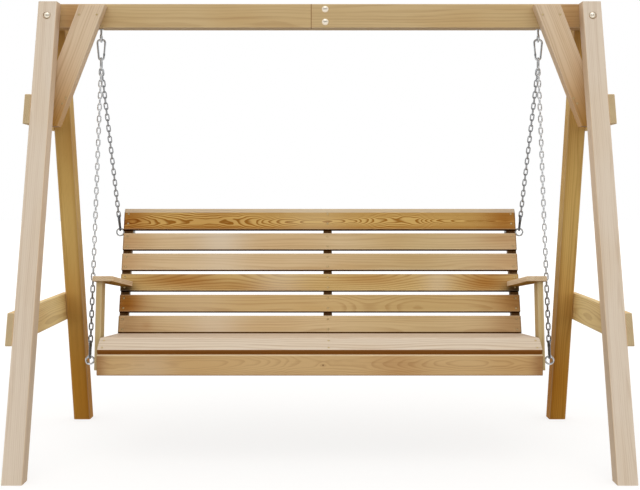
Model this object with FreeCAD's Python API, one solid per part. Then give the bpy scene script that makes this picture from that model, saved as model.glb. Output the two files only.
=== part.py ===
import FreeCAD, Part
import os
from math import ceil, cos, degrees, pi, radians, sin, sqrt, tan
from FreeCAD import Placement, Rotation, Vector

# Garden swing bench: an A-frame stand of square timber, and a slatted bench that hangs on four chains.
# Millimetres, Z up, X along the beam, the sitter looks towards -Y.

# Stand
stand_height = 1700.0
half_width = 1062.0
leg_size = 70.0
leg_slope = 0.304
leg_setback = 95.0
beam_height = 92.0
beam_depth = 70.0
lap_start = -34.0
lap_length = 110.0
tie_thickness = 24.0
tie_height = 112.0
upper_tie_drop = 472.0
lower_tie_bottom = 446.0
brace_thickness = 58.0
brace_width = 92.0
brace_run = 255.0
brace_drop = 12.0
brace_foot = 73.3

# Bench boards
bench_side_gap = 269.0
slat_width = 70.0
slat_thickness = 20.0
bearer_thickness = 34.0
middle_bearer_x = 32.0

# Seat
seat_front_y = -352.0
seat_front_z = 417.0
front_slat_tilt = 30.5
seat_slope = 4.2
seat_slats = 5
crest_gap = 11.0
seat_gap = 4.0
rail_thickness = 20.0
rail_height = 74.0
rail_gap = 0.1
rail_overhang = 4.0
bearer_overhang = 20.0

# Back
back_foot_y = 78.0
back_foot_z = 427.5
back_recline = 19.0
back_slats = 6
back_gap = 15.0
top_slat_width = 91.5
top_bevel = 20.0
top_bevel_depth = 10.0
upright_depth = 30.0
upright_head_drop = 14.0
upright_foot_drop = 92.0

# Arms
arm_front_y = -200.0
arm_front_z = 670.0
arm_slope = 7.5
arm_width = 75.0
arm_back_width = 48.0
arm_overhang = 14.0
arm_back_inset = 14.0
post_thickness = 22.0
packer_thickness = 11.0
post_depth = 70.0
post_outset = 12.0

# Hanging gear
hang_outset = 49.0
eye_radius = 14.5
eye_bar = 3.5
eye_shank = 4.0
beam_eye_drop = 35.0
beam_eye_depth = 55.0
collar_radius = 11.0
collar_height = 3.0
front_eye_reach = 22.0
rear_eye_reach = 19.0
front_eye_z = 359.0
rear_eye_along = 425.0
top_hook_length = 76.0
top_hook_bar = 4.0
top_hook_head = 16.0
top_hook_foot = 9.0
top_hook_bends = (11.0, 8.5)
low_hook_length = 62.0
low_hook_bar = 3.5
low_hook_head = 13.5
low_hook_foot = 8.5
low_hook_bends = (9.0, 7.5)
gate_reach = 0.25
gate_pivot = 0.78
gate_pin = 1.25
gate_step = 0.5
gate_relief = 0.2
gate_tongue = 2.4
long_link_bar = 3.0
long_link_length = 42.0
long_link_width = 22.0
chain_bar = 2.5
chain_link_length = 23.6
chain_link_width = 8.0
chain_spread = 4.2

# Fixings
bolt_radius = 5.0
bolt_head_radius = 13.0
bolt_head_height = 6.0
leg_bolt_drop = 56.0
splice_bolt_drops = (20.0, 69.0)
nut_radius = 9.8
nut_height = 8.0
washer_radius = 12.0
washer_height = 2.0
small_bolt_radius = 4.0
small_bolt_head_radius = 10.0
small_bolt_head_height = 4.5
screw_radius = 2.2
screw_head_radius = 4.2
screw_sink = 0.2
screw_length = 46.0
slat_screw_spacing = 41.0
brace_screw_inset = 32.0
brace_screw_drop = 50.0
brace_screw_bite = 22.0
low_screw_height = 96.0
low_screw_inset = 14.0
low_screw_rise = 10.0
low_screw_shift = 3.0
arm_screw_bite = 38.0
arm_screw_share = 0.22
pocket_angle = 20.0
pocket_setback = 24.0
pocket_inset = 9.0
pocket_screw_length = 37.0
pocket_length = 45.0
pocket_spacing = 28.0
joint_bolt_spacing = 30.0

# Clearances and edges
bolt_clearance = 0.5
screw_clearance = 0.05
bar_clearance = 0.3
swing_clearance = 0.35
pin_clearance = 0.05
fork_clearance = 0.3
timber_edge = 4.0
board_edge = 3.0

# Sizes that follow from those above
bench_half_length = half_width - bench_side_gap
hang_x = bench_half_length + hang_outset
upper_tie_bottom = stand_height - upper_tie_drop
brace_reach = half_width - brace_run
brace_slope = (brace_run - brace_foot) / upper_tie_drop

ONE_X = Vector(1, 0, 0)
ONE_Y = Vector(0, 1, 0)
ONE_Z = Vector(0, 0, 1)


def save(name, shape):
    shape.exportStep("parts/" + name + ".step")


def group(shapes):
    return Part.makeCompound(shapes)


def other_side(shape):
    """The same shape on the other end of the bench."""
    return shape.mirror(Vector(0, 0, 0), ONE_X)


def other_face(shape):
    """The same shape on the other face of the stand, front for rear."""
    return shape.mirror(Vector(0, 0, 0), ONE_Y)


def prism_x(corners, x_from, x_to):
    """A board whose outline is given as (y, z) corners, running along X."""
    points = [Vector(x_from, y, z) for y, z in corners]
    face = Part.Face(Part.makePolygon(points + points[:1]))
    return face.extrude(Vector(x_to - x_from, 0, 0))


def prism_y(corners, y_from, y_to):
    """A board whose outline is given as (x, z) corners, running along Y."""
    points = [Vector(x, y_from, z) for x, z in corners]
    face = Part.Face(Part.makePolygon(points + points[:1]))
    return face.extrude(Vector(0, y_to - y_from, 0))


def eased(shape, radius, shortest=0.0):
    """The shape with its straight edges rounded, apart from those shorter than given."""
    edges = [edge for edge in shape.Edges if edge.Length > shortest]
    return shape.makeFillet(radius, edges)


def lying(front, tilt, width, thickness, bevel=0.0, bevel_depth=0.0):
    """Corners of a board seen from its end: front edge, width up the tilt, thickness below."""
    along = Vector(cos(radians(tilt)), sin(radians(tilt)), 0)
    below = Vector(sin(radians(tilt)), -cos(radians(tilt)), 0)
    start = Vector(front[0], front[1], 0)
    far = start + along * width
    corners = [start, far, far + below * thickness, start + below * thickness]
    if bevel > 0:
        corners[1:2] = [far - along * bevel, far + below * bevel_depth]
    return [(point.x, point.y) for point in corners]


def drilled(shape, holes):
    return shape.cut(holes) if holes else shape


def placed(shape, base, direction):
    """The shape moved to base with its own Z turned to the direction."""
    moved = shape.copy()
    moved.Placement = Placement(base, Rotation(ONE_Z, direction))
    return moved


def framed(shape, base, hole_axis, up):
    """The shape moved to base with its own Y along hole_axis and its own Z along up."""
    moved = shape.copy()
    moved.Placement = Placement(base, Rotation(hole_axis.cross(up), hole_axis, up, "ZYX"))
    return moved


def dome(radius, height):
    """A low round head that stands on Z = 0 and rises towards -Z."""
    ball = (radius ** 2 + height ** 2) / (2 * height)
    sphere = Part.makeSphere(ball, Vector(0, 0, ball - height))
    slab = Part.makeCylinder(radius + 1, height, Vector(0, 0, -height))
    return sphere.common(slab)


def hexagon(radius, height, base_z):
    corners = [Vector(radius * cos(pi * k / 3), radius * sin(pi * k / 3), base_z) for k in range(6)]
    return Part.Face(Part.makePolygon(corners + corners[:1])).extrude(Vector(0, 0, height))


def coach_bolt(seat, direction, grip, radius, head_radius, head_height):
    """A domed bolt through a grip of timber, with its washer and nut."""
    scale = radius / bolt_radius
    head = dome(head_radius, head_height)
    shank = Part.makeCylinder(radius, grip + washer_height + nut_height * scale + 2)
    washer = Part.makeCylinder(washer_radius * scale, washer_height, Vector(0, 0, grip))
    nut = hexagon(nut_radius * scale, nut_height * scale, grip + washer_height)
    return placed(head.fuse([shank, washer, nut]).removeSplitter(), seat, direction)


def small_bolt(seat, direction, grip):
    sizes = (small_bolt_radius, small_bolt_head_radius, small_bolt_head_height)
    return coach_bolt(seat, direction, grip, *sizes)


def bolt_hole(seat, direction, grip, radius):
    return Part.makeCylinder(radius + bolt_clearance, grip + 2, seat - direction, direction)


def screw_form(length, room):
    """A countersunk screw along Z, its head just under Z = 0, or its hole with some room."""
    depth = screw_head_radius - screw_radius
    top = Vector(0, 0, screw_sink)
    head = Part.makeCone(screw_head_radius + room, screw_radius + room, depth, top)
    shank = Part.makeCylinder(screw_radius + room, length - screw_sink + room, top)
    return head.fuse(shank)


def screw(seat, direction, length=screw_length):
    return placed(screw_form(length, 0).removeSplitter(), seat, direction)


def screw_hole(seat, direction, length=screw_length):
    mouth = Part.makeCylinder(screw_head_radius + screw_clearance, 1 + screw_sink, Vector(0, 0, -1))
    return placed(screw_form(length, screw_clearance).fuse(mouth).removeSplitter(), seat, direction)


def bent_bar(points, bends, bar):
    """A round bar along straight runs joined by bends: cylinders and pieces of a ring."""
    pieces = []
    run_start = points[0]
    for corner in range(1, len(points)):
        arriving = (points[corner] - points[corner - 1]).normalize()
        if corner == len(points) - 1:
            run_end = points[corner]
        else:
            leaving = (points[corner + 1] - points[corner]).normalize()
            turn = arriving.getAngle(leaving)
            bend = bends[corner - 1]
            run_end = points[corner] - arriving * (bend * tan(turn / 2))
        run = run_end - run_start
        pieces.append(Part.makeCylinder(bar, run.Length, run_start, run))
        if corner < len(points) - 1:
            inward = (leaving - arriving * arriving.dot(leaving)).normalize()
            disc = Part.Face(Part.Wire(Part.makeCircle(bar, run_end, arriving)))
            axis = arriving.cross(leaving)
            pieces.append(disc.revolve(run_end + inward * bend, axis, degrees(turn)))
            run_start = points[corner] + leaving * (bend * tan(turn / 2))
    return pieces[0].multiFuse(pieces[1:]).removeSplitter()


def oval_link(length, width, bar):
    """A closed link in the XZ plane about its middle: inner length and width, bar radius."""
    bend = width / 2 + bar
    straight = length + 2 * bar - 2 * bend
    pieces = []
    for side in (1, -1):
        start = Vector(side * bend, 0, -straight / 2)
        pieces.append(Part.makeCylinder(bar, straight, start))
        disc = Part.Face(Part.Wire(Part.makeCircle(bar, Vector(bend, 0, side * straight / 2), ONE_Z)))
        pieces.append(disc.revolve(Vector(0, 0, side * straight / 2), ONE_Y, -180 * side))
    return pieces[0].multiFuse(pieces[1:]).removeSplitter()


def snap_hook(length, bar, head, foot, bends):
    """Body and gate of a pear-shaped snap hook in the XZ plane.

    The middle of the head bar is at the origin and the hook hangs down from it.
    The gate closes the +X side, turns on a pin near the foot and opens inwards.
    """
    down_side = (Vector(foot, 0, -length) - Vector(head, 0, 0)).normalize()
    nose = Vector(head, 0, 0) + down_side * (length * gate_reach)
    pivot = Vector(head, 0, 0) + down_side * (length * gate_pivot)
    gate_bar = bar - gate_step
    lap = 1.5 * bar
    knuckle = gate_bar + gate_relief
    cheek = gate_bar - gate_relief
    bar_end = pivot + down_side * (knuckle + 2 * fork_clearance)
    corners = [nose, Vector(head, 0, 0), Vector(-head, 0, 0)]
    corners += [Vector(-foot, 0, -length), Vector(foot, 0, -length), bar_end]
    body = bent_bar(corners, (bends[0], bends[0], bends[1], bends[1]), bar)
    outward = Vector(-down_side.z, 0, down_side.x)
    along = Rotation(outward, ONE_Y, down_side * -1, "ZYX")

    def slab(centre, half_x, half_y, low, high):
        box = Part.makeBox(2 * half_x, 2 * half_y, high - low, Vector(-half_x, -half_y, low))
        box.Placement = Placement(centre, along)
        return box

    # Tongue on the body that the gate's fork straddles
    tip = gate_bar - fork_clearance
    tongue = slab(pivot, tip, gate_tongue / 2, -(knuckle + 2 * fork_clearance + bar), 0)
    eye = Part.makeCylinder(tip, gate_tongue, pivot - ONE_Y * (gate_tongue / 2), ONE_Y)
    bore = Part.makeCylinder(gate_pin + pin_clearance, 4 * bar, pivot - ONE_Y * (2 * bar), ONE_Y)
    # Nose tab on the outer half of the bar, which stops the gate
    tab = Part.makeCylinder(bar, lap, nose, down_side)
    inner_half = slab(nose, 2 * bar, 2 * bar, -2 * lap, 0)
    inner_half.translate(outward * (-2 * bar + fork_clearance / 2))
    body = body.fuse([tongue.fuse(eye), tab.cut(inner_half)]).cut(bore).removeSplitter()

    tip_of_gate = nose + down_side * fork_clearance
    rod_foot = pivot - down_side * gate_bar
    rod = Part.makeCylinder(gate_bar, (rod_foot - tip_of_gate).Length, rod_foot, down_side * -1)
    plate = slab(pivot, knuckle, cheek, 0, 2 * gate_bar)
    round_end = Part.makeCylinder(knuckle, 2 * cheek, pivot - ONE_Y * cheek, ONE_Y)
    fork = slab(pivot, 2 * bar, gate_tongue / 2 + fork_clearance, -2 * bar, tip + 2 * fork_clearance)
    outer_half = slab(tip_of_gate, 2 * bar, 2 * bar, -(lap + fork_clearance), 2 * lap)
    outer_half.translate(outward * (2 * bar - fork_clearance / 2))
    pin = Part.makeCylinder(gate_pin, 2 * cheek, pivot - ONE_Y * cheek, ONE_Y)
    gate = rod.fuse([plate, round_end]).cut(fork).cut(outer_half).fuse(pin).removeSplitter()
    return body, gate, pivot


def eye_bolt(reach, grip, collar):
    """A ring about the origin in the XZ plane, with a shank that enters the timber at Z = reach."""
    ring = Part.makeTorus(eye_radius, eye_bar, Vector(0, 0, 0), ONE_Y)
    shank = Part.makeCylinder(eye_shank, reach - eye_radius + grip, Vector(0, 0, eye_radius))
    if collar:
        end = Part.makeCylinder(collar_radius, collar_height, Vector(0, 0, reach - collar_height))
    else:
        scale = eye_shank / bolt_radius
        washer = Part.makeCylinder(washer_radius * scale, washer_height, Vector(0, 0, reach + grip))
        end = washer.fuse(hexagon(nut_radius * scale, nut_height * scale, reach + grip + washer_height))
    return ring.fuse([shank, end]).removeSplitter()


def eye_hole(face_point, direction, depth):
    return Part.makeCylinder(eye_shank + screw_clearance, depth + 2, face_point - direction, direction)


# Stand: legs
leg_run = leg_size * sqrt(1 + leg_slope ** 2)


def leg_front(z):
    return -(leg_setback + (stand_height - z) * leg_slope)


def leg_back(z):
    return leg_front(z) + leg_run


beam_face = -beam_depth / 2
beam_bottom = stand_height - beam_height
shoulder_z = stand_height - (leg_run - leg_setback - beam_face) / leg_slope
leg_outline = [(leg_front(stand_height), stand_height), (beam_face, stand_height)]
leg_outline += [(beam_face, shoulder_z), (leg_back(0), 0), (leg_front(0), 0)]
leg = prism_x(leg_outline, -half_width, leg_size - half_width)
leg = eased(leg, timber_edge, 0.6 * stand_height)

leg_bolt_z = stand_height - leg_bolt_drop
leg_bolt_x = half_width - leg_size / 2
leg_seat_y = leg_front(leg_bolt_z) + leg_slope * bolt_head_radius + 1
leg_bolt_seat = Vector(-leg_bolt_x, leg_seat_y, leg_bolt_z)
leg_grip = -2 * leg_seat_y
spot_radius = bolt_head_radius + 2
spot = Part.makeCylinder(spot_radius, leg_size, leg_bolt_seat, ONE_Y * -1)
leg_bolt = coach_bolt(leg_bolt_seat, ONE_Y, leg_grip, bolt_radius, bolt_head_radius, bolt_head_height)
leg_bolt_hole = bolt_hole(leg_bolt_seat, ONE_Y, leg_grip, bolt_radius)

# Stand: ties on the outside of the legs
tie_screws = []
tie_screw_holes = []


def tie_board(bottom):
    """A tie whose ends follow the lean of the legs, with two screws into each leg."""
    top = bottom + tie_height
    outline = [(leg_front(bottom), bottom), (leg_front(top), top)]
    outline += [(-leg_front(top), top), (-leg_front(bottom), bottom)]
    board = eased(prism_x(outline, -half_width - tie_thickness, -half_width), board_edge)
    holes = []
    for z in (bottom + tie_height / 4, top - tie_height / 4):
        middle = leg_front(z) + leg_run / 2
        for y in (middle, -middle):
            seat = Vector(-half_width - tie_thickness, y, z)
            tie_screws.append(screw(seat, ONE_X))
            holes.append(screw_hole(seat, ONE_X))
    tie_screw_holes.extend(holes)
    return drilled(board, holes)


upper_tie = tie_board(upper_tie_bottom)
lower_tie = tie_board(lower_tie_bottom)

front_leg = drilled(leg, [leg_bolt_hole, spot] + tie_screw_holes)
rear_leg = drilled(other_face(leg), [leg_bolt_hole, other_face(spot)] + tie_screw_holes)

# Stand: knee braces on the front of the beam
brace_front = beam_face - brace_thickness
brace_span = brace_width * sqrt(1 + brace_slope ** 2)


def brace_inner(z):
    return -(brace_reach + (stand_height - z) * brace_slope)


brace_outer_z = stand_height - (half_width - brace_reach - brace_span) / brace_slope
brace_top = stand_height - brace_drop
brace_head = brace_inner(brace_top)
brace_outline = [(brace_head, brace_top), (brace_head - brace_span, brace_top)]
brace_outline += [(-half_width, brace_outer_z), (-half_width, upper_tie_bottom)]
brace_outline += [(brace_inner(upper_tie_bottom), upper_tie_bottom)]
brace = eased(prism_y(brace_outline, brace_front, beam_face), board_edge, brace_thickness + 1)

brace_screws = []
brace_holes = []
brace_screw_z = stand_height - brace_screw_drop
brace_edge = brace_inner(brace_screw_z) - brace_screw_inset / 2
for x in (brace_edge, brace_edge - brace_span + brace_screw_inset):
    seat = Vector(x, brace_front, brace_screw_z)
    brace_screws.append(screw(seat, ONE_Y, brace_thickness + brace_screw_bite))
    brace_holes.append(screw_hole(seat, ONE_Y, brace_thickness + brace_screw_bite))
for step in (1, -1):
    z = upper_tie_bottom + low_screw_height + step * low_screw_rise
    seat = Vector(brace_inner(z) - low_screw_inset + step * low_screw_shift, brace_front, z)
    brace_screws.append(screw(seat, ONE_Y))
    brace_holes.append(screw_hole(seat, ONE_Y))
brace_end = brace_outer_z - upper_tie_bottom
brace_end_holes = []
for share in (0.25, 0.75):
    end_z = upper_tie_bottom + share * brace_end
    seat = Vector(-half_width - tie_thickness, beam_face - brace_thickness / 2, end_z)
    tie_screws.append(screw(seat, ONE_X))
    brace_end_holes.append(screw_hole(seat, ONE_X))
brace = drilled(brace, brace_holes + brace_end_holes + [leg])
upper_tie = drilled(upper_tie, brace_end_holes)

# Stand: beam in two halves with a lap
eye_base = Vector(-hang_x, 0, beam_bottom)
ring_centre = eye_base - ONE_Z * beam_eye_drop
beam_eye = framed(eye_bolt(beam_eye_drop, beam_eye_depth, True), ring_centre, ONE_X, ONE_Z)
beam_eye_hole = eye_hole(eye_base, ONE_Z, beam_eye_depth)
lap_end = lap_start + lap_length
splice_x = (lap_start + lap_end) / 2
splice_bolts = []
splice_holes = []
for drop in splice_bolt_drops:
    seat = Vector(splice_x, beam_face, stand_height - drop)
    bolt = coach_bolt(seat, ONE_Y, beam_depth, bolt_radius, bolt_head_radius, bolt_head_height)
    splice_bolts.append(bolt)
    splice_holes.append(bolt_hole(seat, ONE_Y, beam_depth, bolt_radius))


def beam_half(outline):
    """A beam half from its plan outline of (x, y) corners."""
    points = [Vector(x, y, beam_bottom) for x, y in outline]
    solid = Part.Face(Part.makePolygon(points + points[:1])).extrude(ONE_Z * beam_height)
    return eased(solid, board_edge, 0.5 * half_width)


left_outline = [(-half_width, beam_face), (lap_start, beam_face), (lap_start, 0), (lap_end, 0)]
left_outline += [(lap_end, -beam_face), (-half_width, -beam_face)]
right_outline = [(half_width, beam_face), (half_width, -beam_face), (lap_end, -beam_face)]
right_outline += [(lap_end, 0), (lap_start, 0), (lap_start, beam_face)]
end_holes = [leg_bolt_hole, beam_eye_hole] + brace_holes
left_beam = drilled(beam_half(left_outline), splice_holes + end_holes)
right_beam = drilled(beam_half(right_outline), splice_holes + [other_side(hole) for hole in end_holes])

# Bench: where the seat and back boards lie
def seat_board(number):
    """Front edge and tilt of a seat slat: number 0 is the tipped front one."""
    if number == 0:
        return (seat_front_y, seat_front_z), front_slat_tilt
    tilt = radians(front_slat_tilt)
    fall = radians(seat_slope)
    crest_y = seat_front_y + slat_width * cos(tilt) + crest_gap
    crest_z = seat_front_z + slat_width * sin(tilt)
    along = (number - 1) * (slat_width + seat_gap)
    return (crest_y + along * cos(fall), crest_z - along * sin(fall)), -seat_slope


back_tilt = 90 - back_recline
back_along = Vector(0, sin(radians(back_recline)), cos(radians(back_recline)))
back_inward = Vector(0, cos(radians(back_recline)), -sin(radians(back_recline)))
back_foot = Vector(0, back_foot_y, back_foot_z)
back_length = (back_slats - 1) * (slat_width + back_gap) + top_slat_width


def back_point(along, depth):
    """A point at a height along the back and a depth behind its front faces."""
    return back_foot + back_along * along + back_inward * depth


def flat(point):
    return (point.y, point.z)


bearer_spans = []
bearer_spans.append((-bench_half_length, bearer_thickness - bench_half_length))
bearer_spans.append((middle_bearer_x - bearer_thickness / 2, middle_bearer_x + bearer_thickness / 2))
bearer_spans.append((bench_half_length - bearer_thickness, bench_half_length))
bearer_names = ("left", "middle", "right")

bench_screws = []
bench_holes = []


def slat_with_screws(front, tilt, width, bevel):
    """A slat across the bench, screwed to the three bearers or uprights."""
    outline = lying(front, tilt, width, slat_thickness, bevel, top_bevel_depth)
    slat = prism_x(outline, -bench_half_length, bench_half_length)
    if bevel > 0:
        slat = eased(slat, board_edge / 2, bench_half_length)
    else:
        slat = eased(slat, board_edge)
    along = Vector(0, cos(radians(tilt)), sin(radians(tilt)))
    below = Vector(0, sin(radians(tilt)), -cos(radians(tilt)))
    holes = []
    for x_from, x_to in bearer_spans:
        for step in (-0.5, 0.5):
            corner = Vector((x_from + x_to) / 2, front[0], front[1])
            seat = corner + along * (width / 2 + step * slat_screw_spacing)
            bench_screws.append(screw(seat, below))
            holes.append(screw_hole(seat, below))
    bench_holes.extend(holes)
    return drilled(slat, holes)


seat_nodes = []
for number in range(seat_slats + 1):
    front, tilt = seat_board(number)
    seat_nodes.append(slat_with_screws(front, tilt, slat_width, 0))
back_nodes = []
for number in range(back_slats):
    start = back_point(number * (slat_width + back_gap), 0)
    top = number == back_slats - 1
    width, bevel = (top_slat_width, top_bevel) if top else (slat_width, 0)
    back_nodes.append(slat_with_screws(flat(start), back_tilt, width, bevel))

# Bench: front rail, bearers and uprights
front_edge, front_tilt = seat_board(0)
front_under = lying(front_edge, front_tilt, slat_width, slat_thickness)
rail_front = seat_front_y - rail_overhang
rail_back = rail_front + rail_thickness
front_turn = radians(front_tilt)
front_low = front_under[3][1] + board_edge * (sin(front_turn) + cos(front_turn) - 1)
rail_top = front_low - rail_gap
rail_bottom = rail_top - rail_height
rail_outline = [(rail_front, rail_bottom), (rail_back, rail_bottom)]
rail_outline += [(rail_back, rail_top), (rail_front, rail_top)]
front_rail = eased(prism_x(rail_outline, -bench_half_length, bench_half_length), board_edge)
pocket_holes = []
for x_from, x_to in bearer_spans:
    inner = x_to if x_from < 0 else x_from
    turn = radians(pocket_angle) if x_from < 0 else -radians(pocket_angle)
    towards_rail = Vector(-sin(turn), -cos(turn), 0)
    for step in (-0.5, 0.5):
        head_x = inner - pocket_inset if x_from < 0 else inner + pocket_inset
        head_z = (rail_top + rail_bottom) / 2 + step * pocket_spacing
        seat = Vector(head_x, rail_back + pocket_setback, head_z)
        bench_screws.append(screw(seat, towards_rail, pocket_screw_length))
        pocket_radius = screw_head_radius + screw_clearance
        pocket = Part.makeCylinder(pocket_radius, pocket_length, seat, towards_rail * -1)
        pocket_holes += [screw_hole(seat, towards_rail, pocket_screw_length), pocket]
bench_holes += pocket_holes
front_rail = drilled(front_rail, pocket_holes)

seat_start, seat_tilt = seat_board(1)
seat_under = lying(seat_start, seat_tilt, slat_width, slat_thickness)
front_rise = tan(radians(front_slat_tilt))
seat_fall = tan(radians(seat_slope))
under_front = front_under[3]
under_seat = seat_under[3]
crest_rise = under_seat[1] - under_front[1] + front_rise * under_front[0] + seat_fall * under_seat[0]
crest_y = crest_rise / (front_rise + seat_fall)
upright_heel = back_point(-upright_foot_drop, slat_thickness + upright_depth)
bearer_back = upright_heel.y + bearer_overhang
bearer_bottom = rail_bottom


def under_front_z(y):
    return under_front[1] + (y - under_front[0]) * front_rise


def under_seat_z(y):
    return under_seat[1] - (y - under_seat[0]) * seat_fall


bearer_outline = [(rail_back, bearer_bottom), (rail_back, under_front_z(rail_back))]
bearer_outline += [(crest_y, under_front_z(crest_y))]
bearer_outline += [(bearer_back, under_seat_z(bearer_back)), (bearer_back, bearer_bottom)]
upright_foot = -upright_foot_drop
upright_head = back_length - upright_head_drop
upright_back = slat_thickness + upright_depth
upright_outline = [flat(back_point(upright_foot, slat_thickness))]
upright_outline += [flat(back_point(upright_head, slat_thickness))]
upright_outline += [flat(back_point(upright_head, upright_back))]
upright_outline += [flat(back_point(upright_foot, upright_back))]
floor_corner = Vector(-2 * half_width, -2 * half_width, bearer_bottom - stand_height)
floor_cut = Part.makeBox(4 * half_width, 4 * half_width, stand_height, floor_corner)

bench_bolts = []
bolt_holes = []
joint_point = back_point(-upright_foot_drop / 2, slat_thickness + upright_depth / 2)
for x_from, x_to in bearer_spans:
    outward = ONE_X if x_from > 0 and x_to > bench_half_length - 1 else ONE_X * -1
    start_x = x_to if outward.x > 0 else x_from
    for step in (-0.5, 0.5):
        seat = joint_point + back_along * (step * joint_bolt_spacing) + ONE_X * start_x
        bench_bolts.append(small_bolt(seat, outward * -1, bearer_thickness))
        bolt_holes.append(bolt_hole(seat, outward * -1, bearer_thickness, small_bolt_radius))

# Bench: arm posts and arms
arm_fall = radians(arm_slope)
arm_along = Vector(0, cos(arm_fall), -sin(arm_fall))
arm_below = Vector(0, -sin(arm_fall), -cos(arm_fall))
arm_start = Vector(0, arm_front_y, arm_front_z)
post_head = arm_start + arm_along * arm_overhang + arm_below * slat_thickness
post_back = post_head + arm_along * post_depth
post_bottom = rail_bottom


def down_the_post(point):
    """Where the line down the lean of the post from a point meets its level foot."""
    return point + arm_below * ((point.z - post_bottom) / cos(arm_fall))


post_outer = -bench_half_length - packer_thickness - post_thickness
post_corners = (post_head, post_back, down_the_post(post_back), down_the_post(post_head))
post_outline = [flat(point) for point in post_corners]
post_inner = post_outer + post_thickness
post = eased(prism_x(post_outline, post_outer, post_inner), board_edge, 2 * post_depth)
packer = prism_x(post_outline, post_inner, -bench_half_length)
packer = packer.common(prism_x(bearer_outline, post_inner, -bench_half_length))

arm_outer = post_outer - post_outset
arm_outline = lying((arm_front_y, arm_front_z), -arm_slope, 2 * stand_height, slat_thickness)
arm_middle = arm_start + arm_below * (slat_thickness / 2)
arm_length = (back_foot - arm_middle).dot(back_inward) / arm_along.dot(back_inward)
arm_end = arm_middle + arm_along * arm_length


def arm_side(front_x, back_x, share):
    """A point on one side of the arm, seen from above, at a share of its length from the front."""
    return Vector(front_x + share * (back_x - front_x), arm_front_y + share * (arm_end.y - arm_front_y), 0)


arm_inner = arm_outer + arm_width
arm_back_inner = arm_back_width - bench_half_length
arm_plan = [arm_side(arm_outer, -bench_half_length, share) for share in (-0.5, 1.5)]
arm_plan += [arm_side(arm_inner, arm_back_inner, share) for share in (1.5, -0.5)]
arm_plan = Part.Face(Part.makePolygon(arm_plan + arm_plan[:1])).extrude(ONE_Z * stand_height)
arm = prism_x(arm_outline, 2 * arm_outer, 0).common(arm_plan)
behind_outline = [flat(back_point(-stand_height, 0)), flat(back_point(stand_height, 0))]
behind_outline += [(4 * half_width, stand_height), (4 * half_width, 0)]
behind_back = prism_x(behind_outline, -2 * half_width, 2 * half_width)
arm = eased(arm.cut(behind_back), board_edge)
arm_screw_x = post_outer + post_thickness / 2
arm_holes = []
for share in (0.5 - arm_screw_share, 0.5 + arm_screw_share):
    seat = arm_start + arm_along * (arm_overhang + share * post_depth) + ONE_X * arm_screw_x
    bench_screws.append(screw(seat, arm_below))
    bench_screws.append(other_side(screw(seat, arm_below)))
    arm_holes.append(screw_hole(seat, arm_below))

# Screw from behind each end upright into the end of the arm
arm_back_seat = arm_end + back_inward * upright_back + ONE_X * (arm_back_inset - bench_half_length)
arm_back_length = upright_back + arm_screw_bite
arm_back_screw = screw(arm_back_seat, back_inward * -1, arm_back_length)
arm_back_hole = screw_hole(arm_back_seat, back_inward * -1, arm_back_length)
bench_screws += [arm_back_screw, other_side(arm_back_screw)]
arm_back_holes = [arm_back_hole, other_side(arm_back_hole)]
bench_holes += arm_back_holes
back_nodes = [drilled(slat, arm_back_holes) for slat in back_nodes]

# Bench: eye bolts and the post's bolt
post_middle = down_the_post(post_head + arm_along * (post_depth / 2))
post_lean = tan(arm_fall)
front_face_point = Vector(post_outer, post_middle.y + (front_eye_z - post_bottom) * post_lean, front_eye_z)
front_ring = front_face_point - ONE_X * front_eye_reach
front_grip = post_thickness + packer_thickness + bearer_thickness
front_eye = framed(eye_bolt(front_eye_reach, front_grip, False), front_ring, ONE_Y, ONE_X)
front_eye_hole = eye_hole(front_face_point, ONE_X, front_grip)
rear_face_point = back_point(rear_eye_along, slat_thickness + upright_depth / 2) - ONE_X * bench_half_length
rear_ring = rear_face_point - ONE_X * rear_eye_reach
rear_eye = framed(eye_bolt(rear_eye_reach, bearer_thickness, False), rear_ring, ONE_Y, ONE_X)
rear_eye_hole = eye_hole(rear_face_point, ONE_X, bearer_thickness)
post_bolt_z = (front_eye_z + under_seat_z(front_face_point.y)) / 2
post_bolt_y = front_face_point.y + (post_bolt_z - front_eye_z) * post_lean
post_bolt_seat = Vector(post_outer, post_bolt_y, post_bolt_z)
post_bolt = small_bolt(post_bolt_seat, ONE_X, front_grip)
post_bolt_hole = bolt_hole(post_bolt_seat, ONE_X, front_grip, small_bolt_radius)
bench_bolts += [post_bolt, other_side(post_bolt)]
side_holes = [front_eye_hole, post_bolt_hole]
post = drilled(post, side_holes + arm_holes)
packer = drilled(packer, side_holes)
arm = drilled(arm, arm_holes + [arm_back_hole])
through_holes = side_holes + [other_side(hole) for hole in side_holes]
through_holes += [rear_eye_hole, other_side(rear_eye_hole)]

bearers = []
uprights = []
for x_from, x_to in bearer_spans:
    bearer = prism_x(bearer_outline, x_from, x_to)
    upright = prism_x(upright_outline, x_from, x_to).cut(floor_cut)
    middle = (x_from + x_to) / 2
    last = x_to > bench_half_length - 1
    halving = prism_x(upright_outline, middle if last else x_from - 1, x_to + 1 if last else middle)
    bearer = bearer.cut(halving)
    upright = upright.cut(bearer)
    holes = bench_holes + bolt_holes + through_holes
    bearers.append(drilled(bearer, holes))
    uprights.append(drilled(upright, holes))

# Hanging gear: hooks, long links and chains
hook_drop = eye_radius - eye_bar - top_hook_bar - swing_clearance
swing_pivot = ring_centre - ONE_Z * hook_drop
top_sizes = (top_hook_length, top_hook_bar, top_hook_head, top_hook_foot, top_hook_bends)
top_body, top_gate, top_pivot = snap_hook(*top_sizes)
top_hook = framed(top_body, swing_pivot, ONE_Y, ONE_Z)
top_hook_gate = framed(top_gate, swing_pivot, ONE_Y, ONE_Z)

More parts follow.
